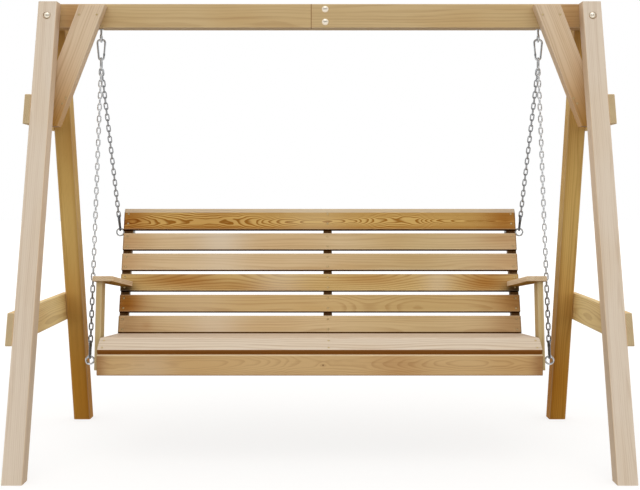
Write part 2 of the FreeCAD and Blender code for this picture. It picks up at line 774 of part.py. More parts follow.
link_bend = long_link_width / 2 + long_link_bar
link_top_z = swing_pivot.z - top_hook_length + top_hook_bar + long_link_bar + bar_clearance
link_half = long_link_length / 2 + long_link_bar
link_middle = Vector(-hang_x, 0, link_top_z - link_half)
long_link = framed(oval_link(long_link_length, long_link_width, long_link_bar), link_middle, ONE_X, ONE_Z)
bow_centre = link_middle - ONE_Z * (link_half - link_bend)
bow_inner = link_bend - long_link_bar - chain_bar - bar_clearance

low_sizes = (low_hook_length, low_hook_bar, low_hook_head, low_hook_foot, low_hook_bends)
low_body, low_gate, low_pivot = snap_hook(*low_sizes)
chain_link = oval_link(chain_link_length, chain_link_width, chain_bar)


def chain_to(ring, side):
    """Chain, hook and gate from the long link to a ring; side is -1 for the front and 1 for the rear."""
    start = bow_centre + Vector(0, side * chain_spread, -sqrt(bow_inner ** 2 - chain_spread ** 2))
    hold = ring + ONE_Z * eye_radius
    down = (hold - start).normalize()
    lateral = (ONE_Y - down * down.dot(ONE_Y)).normalize()
    across = down.cross(lateral)
    foot_bow = hold + down * (eye_bar + low_hook_bar + bar_clearance)
    head_bow = foot_bow - down * low_hook_length
    end = head_bow + down * (low_hook_bar + chain_bar + bar_clearance)
    reach = (end - start).Length
    pair = 2 * (chain_link_length - bar_clearance)
    first_to_last = reach - chain_link_length - 2 * chain_bar
    steps = 2 * ceil(first_to_last / pair)
    pitch = first_to_last / steps
    print("chain", side, "links", steps + 1, "slack", round(chain_link_length - pitch, 3))
    links = []
    for number in range(steps + 1):
        centre = start + down * (number * pitch + chain_link_length / 2 + chain_bar)
        wide = across if number % 2 == 0 else lateral
        links.append(framed(chain_link, centre, (down * -1).cross(wide), down * -1))
    turn = Rotation(lateral, lateral.cross(down), down * -1, "ZYX")
    hook = low_body.copy()
    hook.Placement = Placement(head_bow, turn)
    gate = low_gate.copy()
    gate.Placement = Placement(head_bow, turn)
    print("gate pivot", side, Placement(head_bow, turn).multVec(low_pivot), "axis", turn.multVec(ONE_Y))
    return group(links), hook, gate


front_chain, front_hook, front_gate = chain_to(front_ring, -1)
rear_chain, rear_hook, rear_gate = chain_to(rear_ring, 1)

# Files, one for each named piece
for name, shape in (("front", front_leg), ("rear", rear_leg)):
    save(name + "_left_leg", shape)
    save(name + "_right_leg", other_side(shape))
save("left_beam", left_beam)
save("right_beam", right_beam)
for name, shape in (("upper", upper_tie), ("lower", lower_tie)):
    save(name + "_left_tie", shape)
    save(name + "_right_tie", other_side(shape))
save("left_brace", brace)
save("right_brace", other_side(brace))
save("leg_bolts", group([leg_bolt, other_side(leg_bolt)]))
save("splice_bolts", group(splice_bolts))
save("tie_screws", group(tie_screws + [other_side(shape) for shape in tie_screws]))
save("brace_screws", group(brace_screws + [other_side(shape) for shape in brace_screws]))
save("beam_eyes", group([beam_eye, other_side(beam_eye)]))

for number, shape in enumerate(seat_nodes):
    save("seat_slat_" + str(number + 1), shape)
for number, shape in enumerate(back_nodes):
    save("back_slat_" + str(number + 1), shape)
save("front_rail", front_rail)
for name, bearer, upright in zip(bearer_names, bearers, uprights):
    save(name + "_bearer", bearer)
    save(name + "_upright", upright)
save("left_post", post)
save("right_post", other_side(post))
save("left_packer", packer)
save("right_packer", other_side(packer))
save("left_arm", arm)
save("right_arm", other_side(arm))
save("bench_screws", group(bench_screws))
save("bench_bolts", group(bench_bolts))
save("front_eyes", group([front_eye, other_side(front_eye)]))
save("rear_eyes", group([rear_eye, other_side(rear_eye)]))

save("top_hooks", group([top_hook, other_side(top_hook)]))
save("long_links", group([long_link, other_side(long_link)]))
save("front_left_chain", front_chain)
save("front_right_chain", other_side(front_chain))
save("rear_left_chain", rear_chain)
save("rear_right_chain", other_side(rear_chain))
save("front_hooks", group([front_hook, other_side(front_hook)]))
save("rear_hooks", group([rear_hook, other_side(rear_hook)]))
for name, shape in (("top", top_hook_gate), ("front", front_gate), ("rear", rear_gate)):
    save(name + "_left_gate", shape)
    save(name + "_right_gate", other_side(shape))

print("swing pivot", swing_pivot)
print("top gate pivot", swing_pivot + top_pivot)
print("front ring", front_ring, "rear ring", rear_ring)
print("rail", rail_front, rail_bottom, rail_top, "crest", crest_y)
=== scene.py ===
# %% [markdown]
# # A garden swing bench in planed pine
# The bench hangs on four zinc-plated chains from an A-frame stand.
# Every timber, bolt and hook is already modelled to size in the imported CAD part.
# This lesson loads that part as a fixed frame and gives it its looks:
# pine with growth rings and knots, bright zinc, welded chain links, screw heads, light and a camera.

# %% Load the frame
import bpy
import numpy as np
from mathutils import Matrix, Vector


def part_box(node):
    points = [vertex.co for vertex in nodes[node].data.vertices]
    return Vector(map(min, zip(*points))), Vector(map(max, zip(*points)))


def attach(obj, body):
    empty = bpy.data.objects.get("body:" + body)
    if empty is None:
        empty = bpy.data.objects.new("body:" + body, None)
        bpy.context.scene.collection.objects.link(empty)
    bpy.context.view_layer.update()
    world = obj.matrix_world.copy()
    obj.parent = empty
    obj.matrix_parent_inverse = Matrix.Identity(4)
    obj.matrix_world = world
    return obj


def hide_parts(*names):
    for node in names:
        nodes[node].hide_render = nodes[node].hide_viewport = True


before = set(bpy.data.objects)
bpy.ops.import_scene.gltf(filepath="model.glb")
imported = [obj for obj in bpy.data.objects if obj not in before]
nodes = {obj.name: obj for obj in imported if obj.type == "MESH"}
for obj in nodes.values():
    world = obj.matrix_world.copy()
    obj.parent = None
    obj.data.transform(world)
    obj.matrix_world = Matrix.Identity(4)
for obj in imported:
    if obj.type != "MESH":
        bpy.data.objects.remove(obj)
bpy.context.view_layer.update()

# %% [markdown]
# ## Helpers for every material
# Colours are written as sRGB hex values, the way a paint card or a picture editor gives them.
# Blender computes in linear light, so one function turns them.
# Another adds a shader node with its settings and links, which keeps each material readable.
# Nodes could also be wired by hand in the shader editor, but here every board gets a material of its own.


# %% Colour and node helpers
def linear(hex_colour):
    """Linear RGBA of an sRGB hex value: each channel c becomes ((c + 0.055) / 1.055) ** 2.4, or c / 12.92."""
    values = np.array([int(hex_colour[k:k + 2], 16) for k in (1, 3, 5)]) / 255
    bright = ((values + 0.055) / 1.055) ** 2.4
    return (*np.where(values > 0.04045, bright, values / 12.92), 1.0)


def add(tree, kind, *values, inputs=None, out=0, **settings):
    """Adds a shader node and gives back one of its outputs.

    settings are the node's properties. values fill its inputs in order, and inputs fills others by name or number.
    A socket is linked, None leaves an input as it is, and anything else is set as its value.
    """
    node = tree.nodes.new("ShaderNode" + kind)
    for key, value in settings.items():
        setattr(node, key, value)
    for key, value in (*enumerate(values), *(inputs or {}).items()):
        if isinstance(value, bpy.types.NodeSocket):
            tree.links.new(value, node.inputs[key])
        elif value is not None:
            node.inputs[key].default_value = value
    return node.outputs[out] if node.outputs else node


def new_material(name):
    """A material without nodes, and its node tree."""
    material = bpy.data.materials.new(name)
    material.use_nodes = True
    material.node_tree.nodes.clear()
    return material, material.node_tree


# A Mix node has sockets for numbers and others for colours, told apart only by their places
NUMBER_A, NUMBER_B = 2, 3
COLOUR_A, COLOUR_B, COLOUR_OUT = 6, 7, 2
print("white is", linear("#ffffff")[:3], "and mid grey is", round(linear("#808080")[0], 3))

# %% [markdown]
# ## Pressure-treated pine, planed
# A pine board is a slice out of a round trunk. Its figure is where the face cuts the growth rings:
# straight lines where it cuts them steeply, long arches where it only grazes them.
# So the finish is a solid one. It measures how far each point lies from the trunk's centre line, the pith,
# and darkens the late wood at the end of each year. Sawn ends then show arcs with no extra work.
# The preservative soaks in unevenly, so a board has honey-coloured patches, often at its ends.

# %% Tints of the wood
LATE_WOOD = linear("#bf9f76")     # late wood is the early wood's colour times this
HONEY = linear("#e8cf9e")         # soaked patches, also multiplied
KNOT = linear("#6b3f1c")          # the heart of a knot, mixed in
RUBBED = linear("#f4e6cf")        # arrises that hands have rubbed, mixed in
END_GRAIN = linear("#bdbcb8")     # sawn ends, multiplied
print("late wood keeps", [round(share, 2) for share in LATE_WOOD[:3]], "of the early wood")

# %% [markdown]
# ## Patterns that follow the board
# Wood is drawn out along its grain: a bundle of fibres is many times longer than wide, and so is a streak.
# One noise, stretched by one length along the board and another across it, gives all of them.
# A stain has a place of its own. It could be painted on a picture, but a smooth hill round a point of the board
# needs neither a picture nor a UV map.

# %% Patterns in a board
SEED_STEP = 7.31     # how far apart two boards lie in the noise, so that no two are alike


def speckle(tree, spot, seed, detail, long_mm, wide_mm):
    """Noise with features of one length along the board and another across and through it, 0.5 on average."""
    per_metre = (1000 / long_mm, 1000 / wide_mm, 1000 / wide_mm)
    spread = add(tree, "VectorMath", spot, per_metre, (0.0, 0.0, SEED_STEP * seed), operation="MULTIPLY_ADD")
    return add(tree, "TexNoise", inputs={"Vector": spread, "Scale": 1.0, "Detail": detail, "Roughness": 0.55})


def hill(tree, spot, s0, w0, length, width):
    """exp(-((s - s0) / length)^2 - ((w - w0) / width)^2), as a power of 1 / e."""
    near = add(tree, "VectorMath", spot, (1 / length, 1 / width, 0.0), (-s0 / length, -w0 / width, 0.0),
               operation="MULTIPLY_ADD")
    far = add(tree, "VectorMath", near, near, operation="DOT_PRODUCT", out="Value")
    return add(tree, "Math", np.exp(-1.0), far, operation="POWER")


print("one step out on a hill leaves", round(np.exp(-1.0), 3))

# %% [markdown]
# ## The pith and the knots
# No trunk is straight, so the pith wanders slowly past the board, and the rings with it.
# Where the face climbs out of the rings they close into nested arches, the cathedrals of a flat-sawn board.
# A branch leaves a knot: the grain flows aside round it. Drawing a dark dot alone would look like a stain,
# so the distance from the pith is bent near the knot, and the rings then bend by themselves.

# %% Pith and knots
SWAY_MM, HEAVE_MM = (625, 3330), (435, 1430)     # length and width of the pith's wander, sideways and in depth
FLOW_LONG, FLOW_WIDE = 5.0, 2.4                  # how many radii away the grain flows round a knot
PULL, LIFT = 0.85, 1.5                           # how far it goes aside, and how many radii it rises
HEART_RIM, HEART_CORE, HEART_SHARE = 1.15, 0.6, 0.75
OVAL = 0.8                                       # a knot is a little longer than wide


def from_pith(tree, spot, s, seed, pith, bend, ramps):
    """The vector (0, w - pith w, t - pith t), where the pith wanders by 3 bend sideways and 2 bend in depth.

    s, w and t are a point's distances along, across and through the board.
    ramps are (s from, s to, rise): between them the face climbs out of the rings, which draws nested arches.
    """
    sway = add(tree, "Math", speckle(tree, spot, seed, 0.0, *SWAY_MM), 3 * bend, -1.5 * bend - pith[0],
               operation="MULTIPLY_ADD")
    heave = add(tree, "Math", speckle(tree, spot, seed, 1.0, *HEAVE_MM), 2 * bend, -bend - pith[1],
                operation="MULTIPLY_ADD")
    for *stretch, rise in ramps:
        climb = add(tree, "MapRange", s, *stretch, 0.0, rise, interpolation_type="SMOOTHSTEP")
        heave = add(tree, "Math", heave, climb, operation="ADD")
    grain = add(tree, "CombineXYZ", 0.0, sway, heave)
    return add(tree, "VectorMath", spot, (0.0, 1.0, 1.0), grain, operation="MULTIPLY_ADD")


def knot(tree, spot, grain, s0, w0, radius):
    """The grain with hill * (0, -PULL * (w - w0), LIFT * radius) added, and the knot's dark heart.

    The heart grows from 0 at HEART_RIM radii to HEART_SHARE at HEART_CORE radii.
    """
    aside = add(tree, "VectorMath", spot, (0.0, -PULL, 0.0), (0.0, PULL * w0, LIFT * radius),
                operation="MULTIPLY_ADD")
    aside = add(tree, "VectorMath", aside, operation="SCALE",
                inputs={"Scale": hill(tree, spot, s0, w0, FLOW_LONG * radius, FLOW_WIDE * radius)})
    near = add(tree, "VectorMath", spot, (OVAL, 1.0, 0.0), (-OVAL * s0, -w0, 0.0), operation="MULTIPLY_ADD")
    near = add(tree, "VectorMath", near, operation="LENGTH", out="Value")
    heart = add(tree, "MapRange", near, HEART_RIM * radius, HEART_CORE * radius, 0.0, HEART_SHARE,
                interpolation_type="SMOOTHSTEP")
    return add(tree, "VectorMath", grain, aside, operation="ADD"), heart


print("grain flows round a knot within", FLOW_LONG, "radii along and", FLOW_WIDE, "across")

# %% [markdown]
# ## Growth rings
# A tree grows pale wood in spring and dark wood in late summer, and stops short at the winter.
# Stripes along the board would be quicker to draw, but they never close into arches or turn on a sawn end.
# So the distance from the pith is divided by the width of a ring, and what is left after the whole years
# says how dark the wood is. Rings of 3 mm would be under one pixel here, so they are drawn 4 to 8 mm apart.

# %% Growth rings
TAPER = 0.006                             # a trunk grows thinner, here by 6 mm to the metre
WAVER_MM, RIPPLE_MM = (400, 22.2), (71.4, 33.3)     # length and width of the rings' slow and quick unevenness
WAVER = 0.5                               # years by which the slow one shifts a ring
SUMMER, WINTER = (0.35, 0.86), (1.0, 0.9)           # parts of a year between which the wood darkens and pales


def growth_rings(tree, spot, seed, pith, ring_mm, bend_mm, ripple, ramps, knots):
    """Where late wood lies, from 0 to 1, and the dark heart of each knot.

    The ring number is (distance from the pith + TAPER * s) / ring width, made uneven by WAVER and ripple.
    knots are (s, w, radius).
    """
    s = add(tree, "SeparateXYZ", spot)
    grain = from_pith(tree, spot, s, seed, pith, 0.001 * bend_mm, ramps)
    hearts = []
    for place in knots:
        grain, heart = knot(tree, spot, grain, *place)
        hearts.append(heart)
    far = add(tree, "VectorMath", grain, operation="LENGTH", out="Value")
    far = add(tree, "Math", s, TAPER, far, operation="MULTIPLY_ADD")
    year = add(tree, "Math", far, 1000 / ring_mm, operation="MULTIPLY")
    year = add(tree, "Math", speckle(tree, spot, seed, 2.0, *WAVER_MM), WAVER, year, operation="MULTIPLY_ADD")
    year = add(tree, "Math", speckle(tree, spot, seed, 1.0, *RIPPLE_MM), ripple, year, operation="MULTIPLY_ADD")
    season = add(tree, "Math", year, operation="FRACT")
    summer = add(tree, "MapRange", season, *SUMMER, interpolation_type="SMOOTHSTEP")
    winter = add(tree, "MapRange", season, *WINTER, interpolation_type="SMOOTHSTEP")
    return add(tree, "Math", summer, winter, operation="MULTIPLY"), hearts


print("late wood begins", SUMMER[0], "of the way through a year")

# %% [markdown]
# ## Stains, arrises and edges
# Use leaves its marks in known places: preservative pools near the ends, hands rub the planed arrises pale.
# Shade and highlights are painted the same way: dark lower edges, shadow under the arms, pale edges that face the
# light.
# Such marks could come from a general dirt shader that looks for corners, but it would put them everywhere.
# Here each mark is listed with its place, so it lies where the real one does.

# %% Stains, painted shade and edges
ARRIS, CREST = 0.006, 0.001     # the rubbed strip begins 6 mm from an arris and is full at 1 mm
ARRIS_SHARE = 0.4               # on each of the two faces, and the product where they meet
SOFT_EDGE = 0.001               # half the width over which a stain, painted shade or painted highlight at an edge fades, at most


def stain_and_shade_coats(tree, spot, places, blend):
    """Coats for stains and painted shade, each (s, w, half length, half width, share, colour), in metres."""
    coats = []
    for *where, share, colour in places:
        share = add(tree, "Math", hill(tree, spot, *where), share, operation="MULTIPLY")
        coats.append((share, linear(colour), blend))
    return coats


def edge_coats(tree, spans, half, edges):
    """Coats for the arrises, where both faces end, and for edges.

    edges are (axis, side, depth, share, colour, blend): a stain, painted shade or painted highlight that goes so deep
    in from one side.
    """
    rims = [add(tree, "MapRange", add(tree, "Math", spans[axis], operation="ABSOLUTE"), half[axis] - ARRIS,
                half[axis] - CREST, 0.0, ARRIS_SHARE, interpolation_type="SMOOTHSTEP") for axis in (1, 2)]
    coats = [(add(tree, "Math", *rims, operation="MULTIPLY"), RUBBED, "MIX")]
    for axis, side, depth, share, colour, blend in edges:
        inner, soft = half[axis] - depth, min(SOFT_EDGE, 0.8 * depth)
        reach = add(tree, "MapRange", spans[axis], side * (inner - soft), side * (inner + soft), 0.0, share,
                    interpolation_type="SMOOTHSTEP")
        coats.append((reach, linear(colour), blend))
    return coats


print("arrises are paler over", 1000 * ARRIS, "mm")

# %% [markdown]
# ## The finish of one board
# A finished board is thin coats of colour over each other: late wood, fibres and streaks, soaked patches, stains,
# painted shade and highlights, knots, arrises, and sawn ends that drink the light. One image for each board could hold
# all this, but it would have to be painted and unwrapped. A row of Mix nodes lays the coats on in order instead.
# To the eye, planed pine is matte with a faint silky gloss along the fibres: IOR 1.5, roughness from 0.5 up.

# %% Pine
FIBRE_MM = (83.3, 2.63)      # bundles of fibres: single ones are far too fine to show
STREAK_MM = (909, 16.7)      # darker and paler streaks along the board
SOAK_MM = (385, 111)         # patches that took up more preservative
FIBRE_SHARE, STREAK_SHARE = 0.35, 0.7
SOAK_FROM, SOAK_FULL = 0.42, 0.72
SAWN_FROM, SAWN_FULL = 0.55, 0.9     # how squarely a face looks along the grain
TONE_GAIN = 1.09             # makes up for what the coats take away on average
HARD = 0.7                   # late wood is harder, so it stands proud of the rest
FUZZ = 0.2                   # raised fibres are rougher


def pine(name, own, centre, half, seed, tone, ring_mm=6.0, contrast=0.35, pith=(0.03, -0.05), bend_mm=10.0,
         ripple=0.0, blotch=0.3, sawn=0.8, rough=0.5, gloss=0.3, edges=(), ramps=(), knots=(), patches=(), faded=()):
    """A material for one board, laid on in thin coats of colour.

    The rows of own are the directions along, across and through the board, centre its middle, half its half sizes.
    patches are stains that soak in and painted shade, both multiplied in, and faded ones are mixed in.
    """
    material, tree = new_material(name)
    place = add(tree, "VectorMath", add(tree, "TexCoord", out="Object"), centre, operation="SUBTRACT")
    spans = [add(tree, "VectorMath", place, way, operation="DOT_PRODUCT", out="Value") for way in own]
    spot = add(tree, "CombineXYZ", *spans)
    late, hearts = growth_rings(tree, spot, seed, pith, ring_mm, bend_mm, ripple, ramps, knots)
    fibre = speckle(tree, spot, seed, 3.0, *FIBRE_MM)
    streak = speckle(tree, spot, seed, 2.0, *STREAK_MM)
    dark = add(tree, "Math", late, contrast, -(FIBRE_SHARE + STREAK_SHARE) / 2, operation="MULTIPLY_ADD")
    dark = add(tree, "Math", fibre, FIBRE_SHARE, dark, operation="MULTIPLY_ADD")
    dark = add(tree, "Math", streak, STREAK_SHARE, dark, operation="MULTIPLY_ADD")
    soaked = add(tree, "MapRange", speckle(tree, spot, seed, 1.0, *SOAK_MM), SOAK_FROM, SOAK_FULL, 0.0, blotch,
                 interpolation_type="SMOOTHSTEP")
    facing = add(tree, "VectorMath", add(tree, "TexCoord", out="Normal"), own[0], operation="DOT_PRODUCT", out="Value")
    facing = add(tree, "Math", facing, operation="ABSOLUTE")
    ends = add(tree, "MapRange", facing, SAWN_FROM, SAWN_FULL, 0.0, sawn, interpolation_type="SMOOTHSTEP")
    coats = [(dark, LATE_WOOD, "MULTIPLY"), (soaked, HONEY, "MULTIPLY")]
    coats += stain_and_shade_coats(tree, spot, patches, "MULTIPLY") + stain_and_shade_coats(tree, spot, faded, "MIX")
    coats += [(heart, KNOT, "MIX") for heart in hearts]
    coats += edge_coats(tree, spans, half, edges) + [(ends, END_GRAIN, "MULTIPLY")]
    wood = tuple(min(1.0, TONE_GAIN * channel) for channel in linear(tone)[:3]) + (1.0,)
    for share, colour, blend in coats:
        wood = add(tree, "Mix", share, inputs={COLOUR_A: wood, COLOUR_B: colour}, out=COLOUR_OUT, data_type="RGBA",
                   blend_type=blend)
    height = add(tree, "Math", late, HARD, fibre, operation="MULTIPLY_ADD")
    bump = add(tree, "Bump", inputs={"Strength": 0.35, "Distance": 0.0003, "Height": height})
    rough = add(tree, "Math", fibre, FUZZ, rough, operation="MULTIPLY_ADD")
    shader = add(tree, "BsdfPrincipled", wood, inputs={"Roughness": rough, "Normal": bump, "IOR": 1.5,
                                                       "Specular IOR Level": gloss})
    add(tree, "OutputMaterial", shader)
    return material


print("fibres", FIBRE_MM, "streaks", STREAK_MM, "soaked patches", SOAK_MM, "mm long and wide")

# %% [markdown]
# ## A board list
# No two boards come from the same place in the tree, so each has its own rings and patches.
# The front legs and the seat are pale, partly their own colour and partly painted sheen from the light above, and the
# back legs kept the honey of the preservative.
# The grain runs along the length of each board, which for the leaning pieces is their own lean.
# One material for all timber would be shorter, but the eye sees at once when boards repeat.

# %% Directions and tones
LEG_SLOPE = 0.304
BRACE_SLOPE = 0.385
RECLINE = np.radians(19.0)
ARM_FALL = np.radians(7.5)
FRONT_TILT = np.radians(30.5)
SEAT_FALL = np.radians(4.2)
ALONG_X, ALONG_Y, ALONG_Z = (1, 0, 0), (0, 1, 0), (0, 0, 1)
UP_BACK = (0, np.sin(RECLINE), np.cos(RECLINE))
UP_POST = (0, np.sin(ARM_FALL), np.cos(ARM_FALL))
ALONG, ACROSS, THROUGH = 0, 1, 2     # the axes of a board, for its edges
FULL = 9.0                           # metres, more than any board: a stain or painted shade that goes right across or along
# The pale tones of the front legs, braces and seat are partly painted sheen from the light above
tones = {"front_leg": "#d1c1ad", "rear_leg": "#d5b46f", "beam": "#c6ab7c", "tie": "#e6c886", "brace": "#d6bfa1",
         "post": "#bfa878", "arm": "#d9c3a3", "bearer": "#b8a16f", "upright": "#a07c45", "rail": "#c8a674",
         "seat": "#d3c0aa", "seat_front": "#cebea9", "slat_1": "#c4ac86", "slat_2": "#bda173", "slat_3": "#c1a56f",
         "slat_4": "#c8af8a", "slat_5": "#cab28e", "slat_6": "#c6a463"}
print(len(tones), "tones of pine")

# %% Colours of the stains, painted shade and highlights
STAIN_AND_SHADE_BROWN = "#d0a05a"                    # preservative stains on slats and rail, and painted shade on the beam beside each brace and along the top slat's lower edge
REAR_LEG_SHADE, BRACE_SHADE = "#dbab35", "#dcb03c"   # painted shade, darker amber low in the rear legs and gold low in the braces
JOINT_AND_SHADE_DARK, SHADE = "#a8793e", "#c08a3a"   # dark joints; painted shade at the tops of the rear legs, below the braces, behind the seat and under the rail
LOWER_EDGE_SHADE = "#5e4420"                     # painted shade on the lower edges of the back slats
ARM_SHADOW = "#3a2418"                    # painted shadow in the corner under each arm
SLAT_END_SHADE = "#85703f"                 # painted shade at the sawn ends of the slats
DULL, PINK = "#f0eede", "#d9ccb8"    # darker grey and paler stretches
STRAW = "#d9c39a"                    # a paler stretch of the top slat
FLANK, TIE_END = "#fbf1e4", "#f0dcc8"      # sides of the front legs, front ends of the ties
ARM_UNDER_SHADE, SEAT_NOSE_SHADE = "#b5984c", "#a06c20"     # painted shade under the arms and on the lower edge of the front seat slat
UPRIGHT_SHADE = "#9c864d"             # painted shade on the uprights where they show between the slats
BEVEL_HIGHLIGHT, RAIL_TOP_HIGHLIGHT = "#d2c6b2", "#f0d9b0"     # painted highlights on the top slat's bevel and the rail's top arris
# Painted shade on the lower edge of every back slat
UNDERSIDE_SHADE = (ACROSS, -1, 0.0016, 1.0, LOWER_EDGE_SHADE, "MULTIPLY")
print("the lower edges of the slats are dark for", 1000 * UNDERSIDE_SHADE[2], "mm")

# %% [markdown]
# ## Boards of the stand
# Square legs and a beam of the same section carry the swing, ties and knee braces stiffen it.
# They differ in tone more than in kind: pale at the front, partly painted sheen from the light above, and honey at the
# back, with painted shade in amber and gold low down.
# A list with a tone and a few stains for each pair is short, and left and right are made by one loop.

# %% Boards of the stand
boards = {}
for side, sign in (("left", 1), ("right", -1)):
    boards["front_%s_leg" % side] = dict(along=(0, LEG_SLOPE, 1), across=ALONG_X, tone=tones["front_leg"],
                                         contrast=0.15, blotch=0.12,
                                         edges=[(ACROSS, flank, 0.002, 1.0, FLANK, "MULTIPLY")
                                                for flank in (-1, 1)])
    # Painted shade on the rear legs: darker and amber towards the foot, dark near the top, a dark strip along the
    # inner edge and a band below the brace
    boards["rear_%s_leg" % side] = dict(along=(0, -LEG_SLOPE, 1), across=ALONG_X, tone=tones["rear_leg"], gloss=0.05,
                                        contrast=0.3, patches=[(-0.75, 0.0, 0.5, FULL, 0.85, REAR_LEG_SHADE),
                                                               (0.76, 0.0, 0.1, FULL, 0.5, JOINT_AND_SHADE_DARK),
                                                               (-0.3, sign * 0.03, 0.7, 0.008, 0.4, JOINT_AND_SHADE_DARK),
                                                               (0.38, 0.0, 0.14, FULL, 0.25, SHADE)])
    # Painted shade on each beam near its outer end, between the leg and the brace
    boards["%s_beam" % side] = dict(along=ALONG_X, across=ALONG_Z, tone=tones["beam"], contrast=0.2,
                                    patches=[(-sign * 0.45, 0.0, 0.06, FULL, 0.5, STAIN_AND_SHADE_BROWN)])
    for level in ("upper", "lower"):
        boards["%s_%s_tie" % (level, side)] = dict(along=ALONG_Y, across=ALONG_Z, tone=tones["tie"],
                                                   edges=[(ALONG, -1, 0.04, 0.35, TIE_END, "MIX")])
    # Painted shade: each brace turns darker and gold towards its foot, where the front leg shades it
    boards["%s_brace" % side] = dict(along=(sign * BRACE_SLOPE, 0, 1), across=ALONG_X, tone=tones["brace"],
                                     contrast=0.25, patches=[(-0.28, 0.0, 0.22, FULL, 0.9, BRACE_SHADE)])

# The lap in the beam shows as a dark joint, where the right half begins
boards["right_beam"]["edges"] = [(ALONG, -1, 0.003, 0.85, JOINT_AND_SHADE_DARK, "MULTIPLY")]
print(len(boards), "boards of the stand listed")

# %% [markdown]
# ## Boards of the bench
# The seat is pale, partly its own colour and partly painted sheen from the light above. Its frame, bearers and
# uprights, is darker and mostly hidden.
# The arms are rubbed matte, so they get a higher roughness and hardly any gloss.
# The rail below the seat shows fine rings with long arches and one small knot near the middle.
# Its rings could be left to chance, but the arches meet at the middle, so its pith and ramps are given.

# %% Frame, arms and seat
for side in ("left", "right"):
    for piece in ("post", "packer"):
        boards["%s_%s" % (side, piece)] = dict(along=UP_POST, across=ALONG_Y, tone=tones["post"])
    # Painted shade on the underside of each arm
    boards["%s_arm" % side] = dict(along=(0, np.cos(ARM_FALL), -np.sin(ARM_FALL)), across=ALONG_X,
                                   tone=tones["arm"], sawn=0.2, rough=0.8, gloss=0.05,
                                   edges=[(THROUGH, 1, 0.001, 1.0, ARM_UNDER_SHADE, "MULTIPLY")])
for place in ("left", "middle", "right"):
    boards[place + "_bearer"] = dict(along=ALONG_Y, across=ALONG_Z, tone=tones["bearer"])
    # Painted shade on the front of each upright, where it shows between the slats
    boards[place + "_upright"] = dict(along=UP_BACK, across=ALONG_Y, tone=tones["upright"],
                                      edges=[(ACROSS, -1, 0.024, 1.0, UPRIGHT_SHADE, "MULTIPLY")])
for number in range(1, 7):
    boards["seat_slat_%d" % number] = dict(along=ALONG_X, across=(0, np.cos(SEAT_FALL), -np.sin(SEAT_FALL)),
                                           tone=tones["seat"], contrast=0.3, blotch=0.1)
# Painted shade on the lower front edge of the front seat slat
boards["seat_slat_1"].update(across=(0, np.cos(FRONT_TILT), np.sin(FRONT_TILT)), tone=tones["seat_front"],
                             edges=[(ACROSS, -1, 0.002, 1.0, SEAT_NOSE_SHADE, "MULTIPLY")])
# Painted shade along the rear edge of the last seat slat, in the corner under the back
boards["seat_slat_6"]["edges"] = [(ACROSS, 1, 0.03, 0.7, JOINT_AND_SHADE_DARK, "MULTIPLY")]
# Painted highlight on the rail's top arris, and painted shade on its lower edge
boards["front_rail"] = dict(along=ALONG_X, across=ALONG_Z, tone=tones["rail"], contrast=0.27, pith=(0.004, -0.022),
                            ring_mm=3.8, ripple=1.6, knots=[(0.012, 0.0, 0.0035)],
                            ramps=[(-0.4, 0.0, 0.03), (0.05, 0.5, -0.03)],
                            edges=[(ACROSS, 1, 0.004, 0.5, RAIL_TOP_HIGHLIGHT, "MIX"),
                                   (ACROSS, -1, 0.003, 1.0, SHADE, "MULTIPLY")],
                            patches=[(-0.79, 0.0, 0.03, FULL, 0.6, JOINT_AND_SHADE_DARK), (0.785, 0.0, 0.03, FULL, 0.6, JOINT_AND_SHADE_DARK),
                                     (0.28, 0.0, 0.1, FULL, 0.3, STAIN_AND_SHADE_BROWN)],
                            faded=[(-0.6, 0.0, 0.08, FULL, 0.2, PINK)])
print(len(boards), "boards listed, without the slats of the back")

# %% [markdown]
# ## Slats of the back
# Six slats face the eye, so each has its own marks: brown ends, a darker stretch right of the middle,
# a paler one left of it. The third has broad arches, and the top one lively dark figure under a pale bevel, a painted
# highlight.
# Painted shade darkens their lower edges, a thin line at each sawn end, and the third slat under each arm.
# Random stains would never fall in the right places, so these are listed one by one, in metres from a slat's middle.
# The slats have hardly any gloss, because their lower edges would mirror the bright floor.

# %% Slats of the back
SLAT_END = 0.795     # metres from the middle of a slat to where its sawn ends darken
for number in range(1, 7):
    boards["back_slat_%d" % number] = dict(along=ALONG_X, across=UP_BACK, tone=tones["slat_%d" % number],
                                           contrast=0.22, gloss=0.01, edges=[UNDERSIDE_SHADE])
for number, pink in ((4, 0.3), (5, 0.6)):
    boards["back_slat_%d" % number].update(contrast=0.2, blotch=0.35,
                                           patches=[(-0.8, 0.0, 0.1, 0.06, 0.45, STAIN_AND_SHADE_BROWN),
                                                    (0.78, 0.0, 0.13, 0.06, 0.35, STAIN_AND_SHADE_BROWN),
                                                    (0.38, 0.0, 0.3, FULL, 0.9, DULL)],
                                           faded=[(-0.4, 0.0, 0.1, FULL, pink, PINK)])
